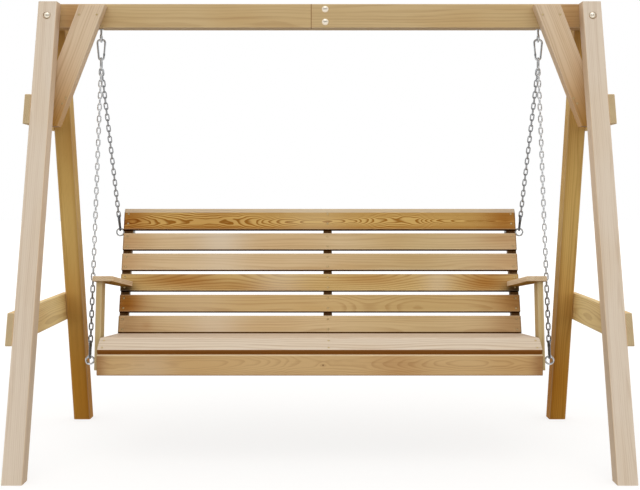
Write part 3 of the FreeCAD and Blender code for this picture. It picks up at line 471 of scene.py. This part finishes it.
# Painted shade: the first slat's lower edge is dark further up, where it meets the seat
boards["back_slat_1"].update(patches=[(-0.76, 0.0, 0.1, FULL, 0.45, STAIN_AND_SHADE_BROWN), (-0.68, -0.005, 0.02, 0.02, 0.25, STAIN_AND_SHADE_BROWN),
                                      (0.76, 0.0, 0.1, FULL, 0.45, STAIN_AND_SHADE_BROWN), (0.35, 0.0, 0.3, FULL, 0.6, DULL)],
                             faded=[(-0.42, 0.0, 0.11, FULL, 0.45, PINK)],
                             edges=[(ACROSS, -1, 0.0042, 1.0, LOWER_EDGE_SHADE, "MULTIPLY")])
boards["back_slat_2"].update(contrast=0.3, ramps=[(0.05, 0.2, 0.015), (0.2, 0.4, -0.015)],
                             patches=[(-0.765, 0.0, 0.075, 0.08, 1.0, STAIN_AND_SHADE_BROWN), (0.77, 0.0, 0.08, FULL, 0.6, STAIN_AND_SHADE_BROWN),
                                      (0.35, 0.0, 0.25, FULL, 0.6, DULL)],
                             faded=[(-0.5, 0.0, 0.15, FULL, 0.15, PINK)])
# Painted shadow under each arm, on both ends of the third slat
boards["back_slat_3"].update(contrast=0.5,
                             ramps=[(-0.75, -0.45, 0.02), (-0.4, -0.1, -0.02), (0.2, 0.45, 0.02), (0.5, 0.7, -0.02)],
                             patches=[(-0.55, 0.008, 0.16, 0.03, 0.75, STAIN_AND_SHADE_BROWN), (-0.35, -0.02, 0.2, 0.02, 0.4, STAIN_AND_SHADE_BROWN),
                                      (0.66, 0.0, 0.1, 0.05, 0.8, STAIN_AND_SHADE_BROWN), (0.2, 0.015, 0.15, 0.025, 0.5, STAIN_AND_SHADE_BROWN),
                                      (-0.776, -0.037, 0.045, 0.032, 1.0, ARM_SHADOW),
                                      (0.776, -0.037, 0.045, 0.032, 1.0, ARM_SHADOW)],
                             faded=[(-0.16, 0.0, 0.1, FULL, 0.3, PINK), (0.47, 0.0, 0.06, FULL, 0.3, PINK)])
# Painted highlight on the top slat's bevel, and painted shade along its lower edge
boards["back_slat_6"].update(contrast=1.15, pith=(-0.012, -0.014), ring_mm=3.8, ripple=2.6,
                             ramps=[(-0.78, -0.5, 0.02), (-0.45, 0.0, -0.035), (0.05, 0.3, 0.025), (0.3, 0.6, -0.03)],
                             edges=[(ACROSS, 1, 0.0195, 0.6, BEVEL_HIGHLIGHT, "MIX"), UNDERSIDE_SHADE],
                             patches=[(-0.77, 0.0, 0.07, 0.06, 0.75, STAIN_AND_SHADE_BROWN), (0.75, 0.0, 0.08, 0.06, 0.75, STAIN_AND_SHADE_BROWN),
                                      (-0.42, 0.0, 0.12, FULL, 0.25, STAIN_AND_SHADE_BROWN), (0.0, -0.04, FULL, 0.009, 0.4, STAIN_AND_SHADE_BROWN)],
                             faded=[(-0.02, 0.0, 0.12, FULL, 0.25, STRAW)])
# Painted shade: a thin dark line at the sawn end of each slat
for number in range(1, 7):
    boards["back_slat_%d" % number]["patches"] += [(end, 0.0, 0.005, FULL, 0.85, SLAT_END_SHADE)
                                                   for end in (-SLAT_END, SLAT_END)]
print(len(boards), "boards listed")

# %% [markdown]
# ## Pine on every board
# A material needs to know where its board lies: its own directions, its middle and its half sizes.
# They are measured on the CAD node, whose mesh stays as it is, so a board that changes in the CAD keeps its finish.
# Where the list doesn't say how the board was cut from the trunk, a seeded draw decides, the same in each run:
# the pith lies 20 to 50 mm to one side and 30 to 70 mm behind, and a ring is 5 to 8 mm wide.


# %% Pine on every board
def points_of(name):
    """The corner points of a CAD node, as an array of x, y, z."""
    mesh = nodes[name].data
    flat = np.empty(3 * len(mesh.vertices))
    mesh.vertices.foreach_get("co", flat)
    return flat.reshape(-1, 3)


chance = np.random.default_rng(11)
for number, (name, board) in enumerate(sorted(boards.items())):
    along = np.array(board["along"]) / np.linalg.norm(board["along"])
    across = np.array(board["across"]) - np.dot(board["across"], along) * along
    across = across / np.linalg.norm(across)
    own = np.stack((along, across, np.cross(along, across)))
    spans = points_of(name) @ own.T
    low, high = spans.min(axis=0), spans.max(axis=0)
    pith = (chance.choice((-1, 1)) * chance.uniform(0.02, 0.05), -chance.uniform(0.03, 0.07))
    settings = {"pith": pith, "ring_mm": chance.uniform(5, 8), **board}
    del settings["along"], settings["across"]
    finish = pine("planed_pine_" + name, own, (low + high) / 2 @ own, (high - low) / 2, number + 1.0, **settings)
    nodes[name].data.materials.clear()
    nodes[name].data.materials.append(finish)
print("pine on", len(boards), "boards")

# %% [markdown]
# ## Zinc-plated steel
# Chains, hooks, eyes and bolts are mild steel with a bright zinc coat, the screws have a yellowish one.
# Zinc is a grey mirror with a soft spangle. A plain grey would look like plastic,
# so it is a metal with a tone and a roughness that vary from spot to spot.
# Weather and hands have dulled the rear chains, the hooks at the bench and the lower part of the front chains.
# A spangle of 1 mm would not show here, so it is drawn 2 to 4 mm wide.


# %% Zinc
def zinc(name, tone, dark_tone, rough, spot_mm, dulled=None):
    """A metal whose roughness, between two values, and tone follow noise with spots of the given size.

    dulled is (height from, height to, colour): the coat is multiplied by that colour below the first height.
    """
    material, tree = new_material(name)
    place = add(tree, "TexCoord", out="Object")
    spangle = add(tree, "TexNoise", inputs={"Vector": place, "Scale": 1000 / spot_mm, "Detail": 3.0})
    uneven = add(tree, "MapRange", spangle, 0.3, 0.7, *rough)
    coat = add(tree, "Mix", spangle, inputs={COLOUR_A: linear(tone), COLOUR_B: linear(dark_tone)}, out=COLOUR_OUT,
               data_type="RGBA")
    if dulled:
        *heights, colour = dulled
        share = add(tree, "MapRange", add(tree, "SeparateXYZ", place, out="Z"), *heights, 1.0, 0.0)
        coat = add(tree, "Mix", share, inputs={COLOUR_A: coat, COLOUR_B: linear(colour)}, out=COLOUR_OUT,
                   data_type="RGBA", blend_type="MULTIPLY")
    bump = add(tree, "Bump", inputs={"Strength": 0.1, "Distance": 0.0002, "Height": spangle})
    shader = add(tree, "BsdfPrincipled", coat, inputs={"Roughness": uneven, "Metallic": 1.0, "Normal": bump})
    add(tree, "OutputMaterial", shader)
    return material


# Fresh plating: clear highlights that break up into a soft spangle
bright_zinc = zinc("zinc_plated_steel", "#e2e4e6", "#a4a8ac", rough=(0.16, 0.34), spot_mm=4.0)
# Tumbled bolt heads: almost white and satin, so they read as pale discs on the wood
bolt_zinc = zinc("zinc_plated_bolts", "#fff6e6", "#e6dac4", rough=(0.3, 0.42), spot_mm=2.0)
# Handled hooks: dark grey with a dull gleam
hook_zinc = zinc("weathered_zinc_hooks", "#8c9096", "#62666c", rough=(0.2, 0.4), spot_mm=4.0)
# Rear chains: mid grey, where the weather has taken the first shine
dull_zinc = zinc("weathered_zinc_steel", "#b2b4b7", "#828589", rough=(0.2, 0.4), spot_mm=4.0)
# Front chains: silver above, grey from the height of the arms down
chain_zinc = zinc("zinc_plated_chain", "#f5f6f7", "#b4b8bc", rough=(0.16, 0.34), spot_mm=4.0,
                  dulled=(0.55, 0.78, "#adadaf"))
# Passivated screws: a matte, pale brass colour
yellow_zinc = zinc("yellow_zinc_screws", "#ead6a8", "#c4ab78", rough=(0.45, 0.6), spot_mm=2.0)

# The hooks at the bench and their gates are the handled ones
steel_nodes = [name for name in nodes if name not in boards]
for name in steel_nodes:
    coat = bright_zinc
    if name.endswith("screws"):
        coat = yellow_zinc
    elif name.endswith("bolts"):
        coat = bolt_zinc
    elif name.startswith(("front", "rear")) and not name.endswith("eyes"):
        coat = hook_zinc
    nodes[name].data.materials.clear()
    nodes[name].data.materials.append(coat)
print("zinc on", len(steel_nodes), "nodes")

# %% [markdown]
# ## Meshes for the small parts
# Links and screws are repeated by the dozen, so they are made as grids of few faces.
# Blender's own tools could copy one object many times, but whole arrays of points are quicker,
# and give one piece for each chain or set of screws. Its mass is a quick test that the faces look outwards.

# %% Mesh helpers
STEEL = 7850     # kg in a cubic metre


def new_piece(name, points, faces, body, slot, material, *stands_for):
    """A smooth mesh object at the origin that rides on a body and stands for CAD nodes."""
    mesh = bpy.data.meshes.new(name)
    mesh.from_pydata(points.tolist(), [], faces)
    mesh.shade_smooth()
    mesh.materials.append(material)
    piece = bpy.data.objects.new(name, mesh)
    bpy.context.scene.collection.objects.link(piece)
    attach(piece, body)
    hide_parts(*stands_for)


def ring_faces(rows, columns, closed):
    """Faces of a grid whose columns go round: (r, c), (r, c + 1), (r + 1, c + 1), (r + 1, c).

    A closed grid joins its last row to its first as well.
    """
    r, c = (side.ravel() for side in np.meshgrid(np.arange(rows - (not closed)), np.arange(columns), indexing="ij"))
    r1, c1 = (r + 1) % rows, (c + 1) % columns
    return np.stack((r * columns + c, r * columns + c1, r1 * columns + c1, r1 * columns + c), axis=1)


def steel_mass(points, faces):
    """Mass in kg: the volume is the sum of a . (b x c) / 6 over triangles, and is positive if faces look outwards."""
    a, b, c, d = (points[faces[:, k]] for k in range(4))
    return STEEL * np.sum(a * (np.cross(b, c) + np.cross(c, d))) / 6


print("a closed grid of 3 by 4 has", len(ring_faces(3, 4, True)), "faces, an open one", len(ring_faces(3, 4, False)))

# %% [markdown]
# ## A welded link
# Each link is a round bar bent into a long oval and closed by a weld, which leaves a small bead on one side.
# The CAD chain has thousands of faces in every link. Here a link is a small grid, a profile along a path:
# five points round each end, three on the side with the bead, and six round the bar.

# %% Link
BAR = 0.0025           # half the thickness of the bar
LINK_LONG, BEND = 0.0336, 0.0065     # length of a link, radius of its bends
HALF_STRAIGHT = LINK_LONG / 2 - BEND - BAR
ARC_POINTS, BAR_SIDES = 5, 6
BEAD_HALF = 0.0022     # half the length of the weld bead
BEAD_THICK = (1.02, 1.22, 1.02)
LINK_ROWS = 2 * ARC_POINTS + len(BEAD_THICK)


def link_path():
    """The bar's centre line (x, y), its outward direction and its thickness at each point.

    Two half circles of radius BEND, moved apart by the straight sides, and a bead that is BEAD_THICK times the bar.
    """
    turn = np.concatenate((np.linspace(0, np.pi, ARC_POINTS), np.linspace(np.pi, 2 * np.pi, ARC_POINTS)))
    shift = np.repeat((HALF_STRAIGHT, -HALF_STRAIGHT), ARC_POINTS)
    path = np.stack((BEND * np.cos(turn), BEND * np.sin(turn) + shift), axis=1)
    out = np.stack((np.cos(turn), np.sin(turn)), axis=1)
    beads = len(BEAD_THICK)
    side = np.stack((np.full(beads, BEND), np.linspace(-BEAD_HALF, BEAD_HALF, beads)), axis=1)
    path = np.concatenate((path, side))
    out = np.concatenate((out, np.tile((1.0, 0.0), (beads, 1))))
    return path, out, np.concatenate((np.ones(2 * ARC_POINTS), BEAD_THICK)) * BAR


print("a link is", LINK_LONG * 1000, "mm long and", round(2000 * (BEND + BAR), 1), "mm wide, with",
      LINK_ROWS * BAR_SIDES, "faces")

# %% [markdown]
# ## Four chains
# In a hanging chain every second link is turned by a quarter. Two chains on each side carry the bench,
# a long one in front and a short one behind. They could be laid between two measured points,
# but then a change in the CAD would leave them behind. So the line and the turn of the first link
# are measured on the CAD node, and every new link lies where its solid is.

# %% Chains
LINKS = {"front": 45, "rear": 27}
FIRST_END = 0.007     # a stretch at the end of a chain that holds a piece of its first link only


def chain_points(points, count):
    """All links at once: centre + x * wide + y * along, then round the bar by r (cos b * out + sin b * flat)."""
    middle = points.mean(axis=0)
    along = np.linalg.svd(points - middle, full_matrices=False)[2][0]
    reach = (points - middle) @ along
    first = points[reach < reach.min() + FIRST_END]
    spread = first - first.mean(axis=0)
    wide = np.linalg.svd(spread - np.outer(spread @ along, along), full_matrices=False)[2][0]
    flat = np.cross(along, wide)
    places = np.linspace(reach.min() + LINK_LONG / 2, reach.max() - LINK_LONG / 2, count)
    # The chain's own line goes through the middle of its box across, not through the mean of its corners
    for direction in (wide, flat):
        span = (points - middle) @ direction
        middle = middle + direction * (span.min() + span.max()) / 2
    odd = (np.arange(count) % 2)[:, None]
    sides, normals = wide * (1 - odd) + flat * odd, flat * (1 - odd) - wide * odd
    path, out, thick = link_path()
    angle = np.arange(BAR_SIDES) * 2 * np.pi / BAR_SIDES
    across = path[:, :1] + np.outer(thick * out[:, 0], np.cos(angle))
    upward = path[:, 1:] + np.outer(thick * out[:, 1], np.cos(angle))
    depth = np.outer(thick, np.sin(angle))
    links = (middle + places[:, None] * along)[:, None, None, :] + across[None, :, :, None] * sides[:, None, None, :]
    links = links + upward[None, :, :, None] * along + depth[None, :, :, None] * normals[:, None, None, :]
    return links.reshape(-1, 3)


for place, coat in (("front", chain_zinc), ("rear", dull_zinc)):
    for side in ("left", "right"):
        name, count = "%s_%s_chain" % (place, side), LINKS[place]
        points = chain_points(points_of(name), count)
        step = LINK_ROWS * BAR_SIDES * np.arange(count)[:, None, None]
        faces = (ring_faces(LINK_ROWS, BAR_SIDES, True) + step).reshape(-1, 4)
        new_piece(name + "_links", points, faces.tolist(), "bench", "chain_steel", coat, name)
        gap = np.abs(np.array(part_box(name)) - np.stack((points.min(axis=0), points.max(axis=0)))).max()
        print(name, count, "links,", len(faces), "faces, box within", round(1000 * gap, 2), "mm,",
              round(steel_mass(points, faces), 3), "kg")

# %% [markdown]
# ## Where the screws are
# Countersunk screws hold the slats, the ties and the braces. Each CAD screw is a separate shell in its node.
# A list of places copied by hand would go wrong with the next change, so the shells are told apart
# by passing the lowest label round each one, and then each gives its line and its length.

# %% Screw lines
MERGE_DIGITS = 5     # of a metre: points within 0.01 mm are one


def shells(name):
    """The points of a CAD node without doubles, and for each the number of the shell that it is on."""
    mesh = nodes[name].data
    spots, place = np.unique(np.round(points_of(name), MERGE_DIGITS), axis=0, return_inverse=True)
    corners = np.empty(len(mesh.loops), dtype=np.int32)
    mesh.loops.foreach_get("vertex_index", corners)
    corners = place.ravel()[corners].reshape(-1, 3)
    label, settled = np.arange(len(spots)), False
    while not settled:
        lower = label.copy()
        np.minimum.at(lower, corners.ravel(), np.repeat(label[corners].min(axis=1), 3))
        lower = lower[lower]
        label, settled = lower, np.array_equal(lower, label)
    return spots, np.unique(label, return_inverse=True)[1]


def screw_lines(name):
    """The middle of the head, the direction into the wood and the length of every screw in a node."""
    spots, label = shells(name)
    heads, ways, lengths = [], [], []
    for number in range(label.max() + 1):
        own = spots[label == number]
        middle = own.mean(axis=0)
        way = np.linalg.svd(own - middle, full_matrices=False)[2][0]
        reach = (own - middle) @ way
        wide = np.linalg.norm(np.cross(own - middle, way), axis=1)
        # The longest axis has no direction yet: the head is the wider end
        if wide[reach.argmin()] < wide[reach.argmax()]:
            way, reach = -way, -reach
        heads.append(middle + reach.min() * way)
        ways.append(way)
        lengths.append(np.ptp(reach))
    return np.array(heads), np.array(ways), np.array(lengths)


screws = {name: screw_lines(name) for name in ("bench_screws", "tie_screws", "brace_screws")}
print("screws found:", {name: len(lines[0]) for name, lines in screws.items()})

# %% [markdown]
# ## Wood screws
# A real head has a six-lobed recess for the driver, which the plain CAD screws leave out.
# It could be cut with a boolean, which leaves long thin faces. A turned profile of five rings does it neatly:
# the two rings of the recess wave six times round the axis, the others are round.

# %% Screws
HEAD, SHANK, NECK = 0.0042, 0.0022, 0.0025     # radius of head and shank, depth of the countersink
RECESS, TIP = 0.002, 0.004                     # depth of the recess, length of the point
SIDES, LOBES, RINGS = 12, 6, 5
ROUND = RINGS * SIDES                          # points of a screw without its two poles
UPRIGHT = 0.9                                  # a screw that points up or down by more takes its side from x
angle = np.arange(SIDES) * 2 * np.pi / SIDES
wave = np.cos(LOBES * angle)
RECESS_FLOOR, RECESS_RIM = 0.0013 + 0.0003 * wave, 0.0018 + 0.0004 * wave
rings = np.stack((RECESS_FLOOR, RECESS_RIM, np.full(SIDES, HEAD), np.full(SIDES, SHANK), np.full(SIDES, SHANK)))


def screw_points(heads, ways, lengths):
    """All screws at once: head + depth * way + radius * (cos a * side + sin a * up), then the two poles."""
    side = np.cross(ways, np.where(np.abs(ways[:, 2:]) < UPRIGHT, ALONG_Z, ALONG_X))
    side = side / np.linalg.norm(side, axis=1, keepdims=True)
    up = np.cross(ways, side)
    spokes = np.cos(angle)[None, :, None] * side[:, None] + np.sin(angle)[None, :, None] * up[:, None]
    level = np.zeros(len(heads))
    depth = np.stack((level + RECESS, level, level, level + NECK, lengths - TIP), axis=1)
    turned = heads[:, None, None] + depth[:, :, None, None] * ways[:, None, None]
    turned = turned + rings[None, :, :, None] * spokes[:, None]
    poles = np.stack((heads + RECESS * ways, heads + lengths[:, None] * ways), axis=1)
    return np.concatenate((turned.reshape(len(heads), -1, 3), poles), axis=1).reshape(-1, 3)


column = np.arange(SIDES)
following = (column + 1) % SIDES
floor_pole, tip_pole, last_ring = np.full(SIDES, ROUND), np.full(SIDES, ROUND + 1), ROUND - SIDES
fans = np.concatenate((np.stack((floor_pole, following, column), axis=1),
                       np.stack((last_ring + column, last_ring + following, tip_pole), axis=1)))
for name, lines in screws.items():
    points = screw_points(*lines)
    step = (ROUND + 2) * np.arange(len(lines[0]))[:, None, None]
    quads, tips = (ring_faces(RINGS, SIDES, False) + step).reshape(-1, 4), (fans + step).reshape(-1, 3)
    body = "bench" if name == "bench_screws" else "stand"
    new_piece(name[:-1] + "_set", points, quads.tolist() + tips.tolist(), body, "screw_steel", yellow_zinc, name)
    print(name, len(lines[0]), "screws of", np.unique(np.round(1000 * lines[2], 1)), "mm,",
          round(steel_mass(points, np.concatenate((quads, tips[:, (0, 1, 2, 0)]))), 3), "kg")

# %% [markdown]
# ## Floor
# The stand rests on a pale floor that runs out of sight. More lamps would make it white, and bleach the wood.
# So the floor is a mid grey for the light that it throws back at the bench,
# and adds some white of its own to what the camera and mirrors see, which keeps it pale and keeps its shadow.

# %% Floor
FLOOR_HALF = 40.0
GLOW_FROM, GLOW_TO = (1.0, 0.73), (6.0, 0.85)     # metres from the middle, and the white that is added there
WHITE = linear("#ffffff")


def grid_plane(name, half):
    """A flat square: x and y from -half to half at z = 0."""
    x, y = np.meshgrid((-half, half), (-half, half))
    corners = np.stack((x.ravel(), y.ravel(), np.zeros(4)), axis=1)
    mesh = bpy.data.meshes.new(name)
    mesh.from_pydata(corners.tolist(), [], [(0, 1, 3, 2)])
    plane = bpy.data.objects.new(name, mesh)
    bpy.context.scene.collection.objects.link(plane)
    return plane


floor = grid_plane("floor", FLOOR_HALF)
# Matte paint: no gloss, so it shows soft shadows and no mirror image
floor_paint, tree = new_material("pale_floor")
seen = add(tree, "LightPath", out="Is Camera Ray")
for ray in ("Is Glossy Ray", "Is Transmission Ray"):
    seen = add(tree, "Math", seen, add(tree, "LightPath", out=ray), operation="MAXIMUM")
away = add(tree, "VectorMath", add(tree, "TexCoord", out="Object"), operation="LENGTH", out="Value")
glow = add(tree, "MapRange", away, GLOW_FROM[0], GLOW_TO[0], GLOW_FROM[1], GLOW_TO[1],
           interpolation_type="SMOOTHSTEP")
white = add(tree, "Emission", WHITE, add(tree, "Math", seen, glow, operation="MULTIPLY"))
matte = add(tree, "BsdfDiffuse", linear("#959390"))
add(tree, "OutputMaterial", add(tree, "AddShader", white, matte))
floor.data.materials.append(floor_paint)
print("floor", [round(size, 1) for size in floor.dimensions])

# %% [markdown]
# ## Room and lamp
# The light is that of a bright room: most of it comes from all round, from white walls that are brighter
# near the horizon, and one soft lamp overhead adds a little more from the front.
# Area lamps on every side could do the same, but a world with a gradient has no hot spots and little noise.
# Bright metal mirrors the white walls, and the dim end of the room where the camera stands.

# %% Room and lamp
WALL_LIGHT, CEILING_LIGHT = 1.55, 0.55
DIM_END = 0.2                        # what metal mirrors of the camera's end of the room
DIM_FROM, DIM_TO = -0.9, -0.35       # how far towards that end, as the cosine of an angle
world = bpy.data.worlds.new("bright_room")
bpy.context.scene.world = world
world.use_nodes = True
tree = world.node_tree
tree.nodes.clear()
seen = add(tree, "Math", add(tree, "LightPath", out="Is Camera Ray"),
           add(tree, "LightPath", out="Is Transmission Ray"), operation="MAXIMUM")
towards = add(tree, "TexCoord", out="Generated")
height = add(tree, "VectorMath", towards, ALONG_Z, operation="DOT_PRODUCT", out="Value")
walls = add(tree, "MapRange", height, 0.0, 1.0, WALL_LIGHT, CEILING_LIGHT)
back = add(tree, "VectorMath", towards, ALONG_Y, operation="DOT_PRODUCT", out="Value")
mirrored = add(tree, "MapRange", back, DIM_FROM, DIM_TO, DIM_END, 1.0, interpolation_type="SMOOTHSTEP")
level = add(tree, "Mix", add(tree, "LightPath", out="Is Glossy Ray"), inputs={NUMBER_A: walls, NUMBER_B: mirrored})
level = add(tree, "Mix", seen, inputs={NUMBER_A: level, NUMBER_B: 1.0})
add(tree, "OutputWorld", add(tree, "Background", WHITE, level))

lamp = bpy.data.lights.new("overhead_softbox", "SUN")
lamp.energy = 0.6
lamp.angle = np.radians(45.0)
softbox = bpy.data.objects.new("overhead_softbox", lamp)
softbox.rotation_euler = (np.radians(35.0), 0.0, 0.0)
bpy.context.scene.collection.objects.link(softbox)
bpy.context.scene.view_settings.view_transform = "Standard"
print("lit from above at", lamp.energy, "and by the room")

# %% [markdown]
# ## The camera
# The picture was taken level, from about 4.5 m in front and just under a metre up.
# A camera that is tipped down would make the legs lean together.
# So it looks straight ahead, and its frame is shifted down, which keeps the legs upright in the view.

# %% Camera
IMAGE_WIDTH, IMAGE_HEIGHT = 640, 490
FOCAL_PIXELS = 1160
HORIZON_ROW = 196.2
SIDE_SHIFT = 0.3     # pixels
EYE_AWAY, EYE_UP = 4.474, 0.964
eye = bpy.data.cameras.new("camera")
eye.sensor_width = 36.0
eye.lens = FOCAL_PIXELS * eye.sensor_width / IMAGE_WIDTH
eye.shift_x = SIDE_SHIFT / IMAGE_WIDTH
eye.shift_y = (HORIZON_ROW - IMAGE_HEIGHT / 2) / IMAGE_WIDTH
camera = bpy.data.objects.new("camera", eye)
camera.location = (0.0, -EYE_AWAY, EYE_UP)
camera.rotation_euler = (np.pi / 2, 0.0, 0.0)
bpy.context.scene.collection.objects.link(camera)
bpy.context.scene.camera = camera
print("lens", round(eye.lens, 2), "mm, shift", round(eye.shift_y, 4))
